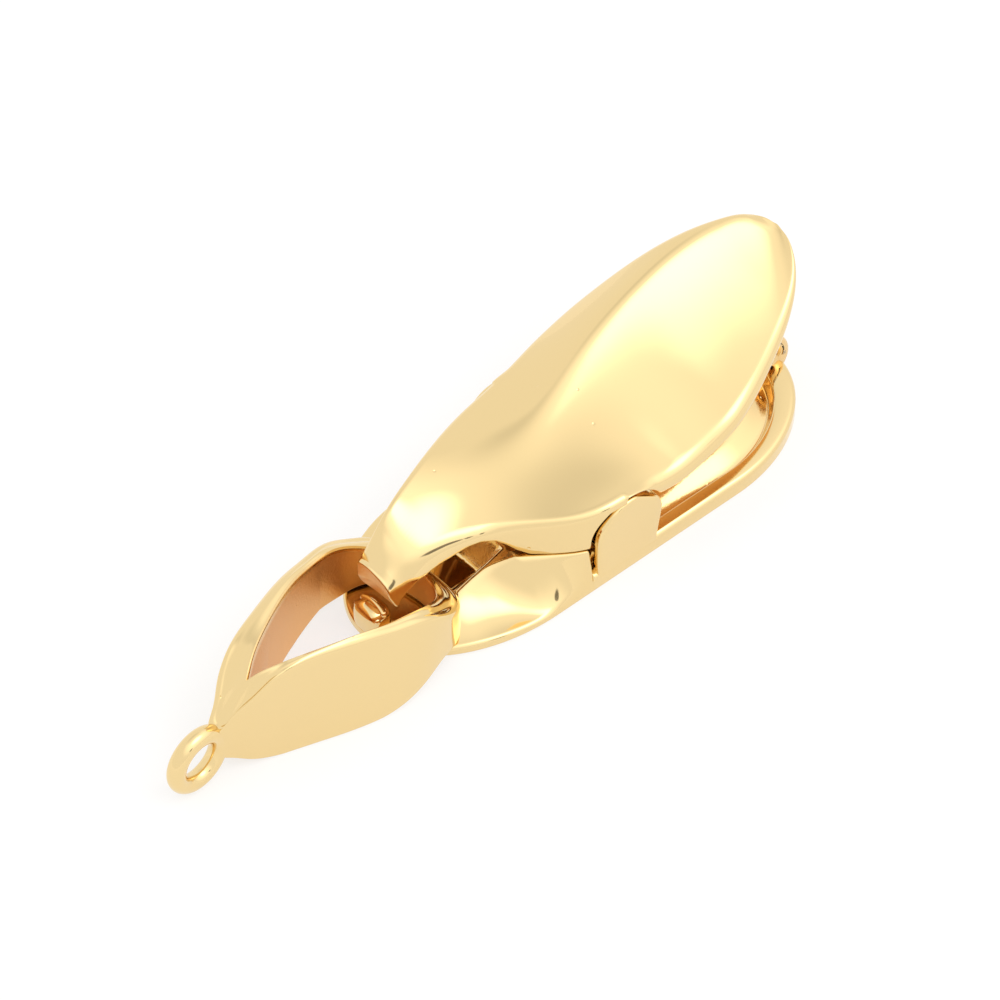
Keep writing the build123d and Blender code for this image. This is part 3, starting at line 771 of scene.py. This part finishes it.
def build_link_loop(sizes):
    """The tall leaf-shaped loop.

    The outer and the inner leaf outline are matched point by point, and a rounded section of the wall
    stands on each pair, as high and as low as the side view says there. The tip's outline is rubbed
    round.
    """
    center, along = link_frame()
    length, half_width, height = LINK_LENGTH, LINK_HALF_WIDTH, LINK_HIGH[2]
    bar = center + along * (length - RING_OVERLAP + sizes.ring_radius + sizes.ring_wire)
    across = np.array((-along[1], along[0], 0.0))
    far_out = leaf_side(LINK_OUTLINE, length, half_width, (1.0, 0.12), -0.9)
    near_out = far_out * (1, -1)
    far_in = leaf_side(LINK_OPENING_FAR, length, half_width, LINK_OPENING_TIP, -0.55)
    near_in = leaf_side(LINK_OPENING_NEAR, length, half_width, LINK_OPENING_TIP, 0.55)

    def close(near, far, count=9):
        share = np.linspace(0, 1, count)[1:-1, None]
        bridge = near[-1] + (far[-1] - near[-1]) * share
        return np.concatenate([near, bridge, far[:0:-1]])

    outer_loop = round_corners(close(near_out, far_out), 3)
    inner_loop = round_corners(close(near_in, far_in), 1)

    def heights(loop):
        share = np.clip(-loop[:, 0] / length, 0, 1)
        top = natural_spline(LINK_SIDE[:, 0], LINK_SIDE[:, 1], share)[:, 0]
        foot, spread = np.maximum(natural_spline(LINK_SIDE[:, 0], LINK_SIDE[:, 2:], share), 0).T
        return top * height, foot * height, spread

    outer_top, outer_foot, spread = heights(outer_loop)
    inner_top, inner_foot, _ = heights(inner_loop)
    inner_edge, foot_edge = 0.12, 0.14
    turn = np.linspace(0, np.pi / 2, 8)
    inward = inner_loop - outer_loop
    thickness = np.linalg.norm(inward, axis=1)
    edge = np.minimum(sizes.link_edge, 0.65 * thickness)
    inward = inward / thickness[:, None]
    # Each row's third value is how rough the wall was left as cast, which also sets its painted orange bounce
    # light; the opening's inner wall gets the most.
    rows = []
    for share in np.linspace(0, 1, 15):
        z = outer_foot + foot_edge + (outer_top - edge - outer_foot - foot_edge) * share
        rows.append((-spread * (1 - share) * (1 + 0.35 * share), z, 0.0))
    for t in turn[1:]:
        rows.append((edge * (1 - np.cos(t)) + 0 * outer_top, outer_top - edge * (1 - np.sin(t)), 0.0))
    for share in np.linspace(0, 1, 6)[1:]:
        inset = edge + (thickness - edge - inner_edge) * share
        crown = 0.06 * np.sin(np.pi * share)
        rows.append((inset, outer_top + (inner_top - outer_top) * share + crown, 0.0))
    for t in turn[1:]:
        z = inner_top - inner_edge * (1 - np.cos(t))
        rows.append((thickness - inner_edge * (1 - np.sin(t)), z, 0.3))
    inner_spread = 0.8 * np.minimum(spread, 0.4)
    for share in np.linspace(0, 1, 12)[1:]:
        z = inner_top - inner_edge + (inner_foot + foot_edge - inner_top + inner_edge) * share
        rows.append((thickness - inner_spread * share, z, 1.0))
    low = thickness - inner_spread
    for t in turn[1:]:
        rows.append((low - foot_edge * (1 - np.cos(t)), inner_foot + foot_edge * (1 - np.sin(t)), 0.6))
    for share in np.linspace(0, 1, 4)[1:-1]:
        inset = low - foot_edge + (2 * foot_edge - spread - low) * share
        rows.append((inset, inner_foot + (outer_foot - inner_foot) * share, 0.2))
    for t in turn[:-1]:
        rows.append((foot_edge * (1 - np.sin(t)) - spread, outer_foot + foot_edge * (1 - np.cos(t)), 0.0))
    grid, cast = [], []
    for inset, z, rough in rows:
        flat = outer_loop + inward * np.broadcast_to(inset, len(inward))[:, None]
        plan = bar[:2] + flat[:, :1] * along[:2] + flat[:, 1:] * across[:2]
        grid.append(np.concatenate([plan, z[:, None]], axis=1))
        cast.append(np.full(len(z), rough))
    return skin("link_loop", np.array(grid), round_trip=True, cast=np.array(cast))


def build_ring(sizes):
    """The soldered end ring: a round wire bent in a circle across the link's length."""
    center, along = link_frame()
    turn = np.linspace(0, 2 * np.pi, 161)[:-1][:, None]
    wire = np.linspace(0, 2 * np.pi, 49)[:-1][None, :]
    across = np.array((-along[1], along[0], 0.0))
    out = sizes.ring_radius + sizes.ring_wire * np.cos(wire)
    flat = (out * np.cos(turn))[..., None] * along
    up = (out * np.sin(turn))[..., None] * np.array((0, 0, 1))
    side = (sizes.ring_wire * np.sin(wire) + 0 * turn)[..., None] * across
    return skin("link_ring", center + flat + up + side, round_trip=True)


# How far the far ear lies in from the base's side and behind the pin, and the ears' rounding, in
# millimetres.
FAR_EAR_IN, FAR_EAR_SHIFT, EAR_EDGE = 0.1, 0.32, 0.16
# The rear eye's middle along X and in height, its radius, how high its disc lies over that, and its hole.
EYE_CENTER, EYE_RADIUS, EYE_LIFT, EYE_HOLE = (11.9, 1.65), 1.3, -0.35, 0.55


def eye_outline(angle):
    """Radius of the rear eye about its hole: a disc whose own middle lies below the hole's."""
    return EYE_LIFT * np.sin(angle) + np.sqrt(EYE_RADIUS ** 2 - (EYE_LIFT * np.cos(angle)) ** 2)


class CLASP_OT_lever(bpy.types.Operator):
    """Models the lid and its hinge lugs"""
    bl_idname = "clasp.lever"
    bl_label = "Lever"

    def execute(self, context):
        sizes = context.scene.clasp_sizes
        shell = build_lever_shell(sizes)
        finish_piece(shell, "lever", gold())
        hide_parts("lever")
        inner = BASE_HIGH[1] - sizes.ear_wall - 0.15
        for name, low in (("near_lug", -inner), ("far_lug", inner - 0.9)):
            # The lugs are left as cast: rougher, and painted deeper orange as bounce light.
            lug = build_disc(name, (0, PIN_HEIGHT), lug_outline, 0.63, low, low + 0.9, 0.06, cast=0.7)
            finish_piece(lug, "lever", gold())
        return {"FINISHED"}


class CLASP_OT_base(bpy.types.Operator):
    """Models the base with its ears, nose, ribs and rear eye"""
    bl_idname = "clasp.base"
    bl_label = "Base"

    def execute(self, context):
        sizes = context.scene.clasp_sizes
        body = build_base_body(sizes)
        finish_piece(body, "base", gold())
        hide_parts("base")
        side = BASE_HIGH[1] - 0.008
        for name, low, shift, radius in (
            ("near_ear", -side, sizes.ear_shift, sizes.ear_radius),
            ("far_ear", side - FAR_EAR_IN - sizes.ear_wall, FAR_EAR_SHIFT, sizes.far_ear_radius),
        ):
            high = low + sizes.ear_wall
            ear = build_disc(name, (shift, PIN_HEIGHT), ear_outline(radius), 0.0, low, high, EAR_EDGE)
            finish_piece(ear, "base", gold())
        nose = build_pebble("nose", (-10.42, 0, 0.83), (0.63, 0.8, 0.82), 0.62)
        finish_piece(nose, "base", gold())
        for name, x, z in (("upper_rib", -10.27, 1.58), ("lower_rib", -10.62, 1.36)):
            rib = build_nose_rib(name, x, z, 0.78, 0.17)
            finish_piece(rib, "base", gold())
        # The eye is partly left as cast: rougher, with some painted orange bounce light.
        eye = build_disc("rear_eye", EYE_CENTER, eye_outline, EYE_HOLE, -0.75, 0.75, 0.3, cast=0.3)
        finish_piece(eye, "base", gold())
        return {"FINISHED"}


class CLASP_OT_pin(bpy.types.Operator):
    """Plates the hinge pin"""
    bl_idname = "clasp.pin"
    bl_label = "Hinge pin"

    def execute(self, context):
        pin = frame["nodes"]["hinge_pin"]
        for slot in pin.material_slots:
            slot.material = gold()
        return {"FINISHED"}


class CLASP_OT_link(bpy.types.Operator):
    """Models the leaf-shaped link and its soldered ring"""
    bl_idname = "clasp.link"
    bl_label = "Link"

    def execute(self, context):
        sizes = context.scene.clasp_sizes
        loop = build_link_loop(sizes)
        finish_piece(loop, "link", gold())
        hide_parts("link")
        finish_piece(build_ring(sizes), "link", gold())
        return {"FINISHED"}


def white_table(colour):
    """Opal white acrylic, lit from below: a matte sheet that glows, so it is white inside the link too."""
    material = bpy.data.materials.new("matte_white_acrylic")
    material.use_nodes = True
    shader = material.node_tree.nodes["Principled BSDF"]
    shader.inputs["Base Color"].default_value = (*(0.33 * channel for channel in colour[:3]), 1)
    shader.inputs["Roughness"].default_value = 0.9
    shader.inputs["Specular IOR Level"].default_value = 0.1
    shader.inputs["Emission Color"].default_value = (1, 1, 1, 1)
    shader.inputs["Emission Strength"].default_value = 0.69
    return material


# Light of the white room as a function of direction: where each soft box, gap or card lies (turn from +X
# and angle from straight up), the angle at which it has faded out, the angle within which it is full, in
# degrees, and its strength over the room's level.
ROOM_LIGHT = 1.016
STUDIO = (
    ("hot middle of the soft box", 305.7, 31.9, 23.6, 0.0, 1.20),
    ("soft box", 305.7, 31.9, 60.5, 0.0, 0.49),
    ("gap in the tent", 31.7, 16.4, 34.0, 0.0, -0.26),
    ("dark card beside the camera", 270.5, 66.0, 6.0, 4.0, -0.98),
)


def studio_world():
    """A white room whose brightness is a smooth function of direction: a level, plus each box, gap and card.

    Each is a smooth step of the cosine of the angle between the direction and its middle.
    """
    world = bpy.data.worlds.new("white_room")
    bpy.context.scene.world = world
    world.use_nodes = True
    tree = world.node_tree
    tree.nodes.clear()
    look = add_node(tree, "ShaderNodeTexCoord").outputs["Generated"]
    level = None
    for _, turn, tilt, outer, inner, strength in STUDIO:
        turn, tilt = np.radians(turn), np.radians(tilt)
        toward = (np.sin(tilt) * np.cos(turn), np.sin(tilt) * np.sin(turn), np.cos(tilt))
        facing = add_node(tree, "ShaderNodeVectorMath", {"operation": "DOT_PRODUCT", 1: toward}, _0=look)
        patch = add_node(tree, "ShaderNodeMapRange", {
            "interpolation_type": "SMOOTHSTEP", "From Min": np.cos(np.radians(outer)),
            "From Max": np.cos(np.radians(inner)), "To Min": 0.0, "To Max": strength},
            Value=facing.outputs["Value"])
        total = add_node(tree, "ShaderNodeMath", {"operation": "ADD", 0: ROOM_LIGHT},
                         _1=patch.outputs["Result"])
        if level is not None:
            tree.links.new(level, total.inputs[0])
        level = total.outputs["Value"]
    light = add_node(tree, "ShaderNodeBackground", {"Color": (1, 1, 1, 1)}, Strength=level)
    add_node(tree, "ShaderNodeOutputWorld", Surface=light.outputs["Background"])


class CLASP_OT_stage(bpy.types.Operator):
    """Lays the white table and sets the light and the camera"""
    bl_idname = "clasp.stage"
    bl_label = "Stage"

    def execute(self, context):
        finish = context.scene.clasp_finish
        mesh = bpy.data.meshes.new("table")
        reach = 1.5
        corners = [(-reach, -reach, 0), (reach, -reach, 0), (reach, reach, 0), (-reach, reach, 0)]
        mesh.from_pydata(corners, [], [(0, 1, 2, 3)])
        mesh.materials.append(white_table(finish.table))
        table = bpy.data.objects.new("table", mesh)
        context.scene.collection.objects.link(table)
        studio_world()

        turn, tilt, distance, view_width = np.radians(-41.143), np.radians(49.0), 0.300, 0.04348
        target = np.array((-0.00152, 0.00190, 0.0))
        away = np.array((np.sin(turn) * np.cos(tilt), -np.cos(turn) * np.cos(tilt), np.sin(tilt)))
        camera_data = bpy.data.cameras.new("camera")
        camera_data.sensor_width = 36.0
        camera_data.lens = camera_data.sensor_width * distance / view_width
        camera_data.clip_start = 0.01
        camera = bpy.data.objects.new("camera", camera_data)
        camera.location = target + away * distance
        camera.rotation_euler = Vector(-away).to_track_quat("-Z", "Y").to_euler()
        context.scene.collection.objects.link(camera)
        context.scene.camera = camera
        context.scene.view_settings.view_transform = "Standard"
        return {"FINISHED"}


class CLASP_PT_panel(bpy.types.Panel):
    """Lists the clasp's pieces, sizes and colours"""
    bl_label = "Leaf clip clasp"
    bl_idname = "CLASP_PT_panel"
    bl_space_type = "VIEW_3D"
    bl_region_type = "UI"
    bl_category = "Clasp"

    def draw(self, context):
        for group in (context.scene.clasp_sizes, context.scene.clasp_finish):
            for name in group.__annotations__:
                self.layout.prop(group, name)
        for operator in OPERATORS:
            self.layout.operator(operator.bl_idname)


OPERATORS = (CLASP_OT_lever, CLASP_OT_base, CLASP_OT_pin, CLASP_OT_link, CLASP_OT_stage)
CLASSES = (ClaspSizes, ClaspFinish, *OPERATORS, CLASP_PT_panel)


def register():
    for cls in CLASSES:
        bpy.utils.register_class(cls)
    bpy.types.Scene.clasp_sizes = PointerProperty(type=ClaspSizes)
    bpy.types.Scene.clasp_finish = PointerProperty(type=ClaspFinish)


def unregister():
    del bpy.types.Scene.clasp_finish
    del bpy.types.Scene.clasp_sizes
    for cls in reversed(CLASSES):
        bpy.utils.unregister_class(cls)


def main():
    register()
    bpy.ops.clasp.lever()
    bpy.ops.clasp.base()
    bpy.ops.clasp.pin()
    bpy.ops.clasp.link()
    bpy.ops.clasp.stage()


if __name__ == "__main__":
    main()
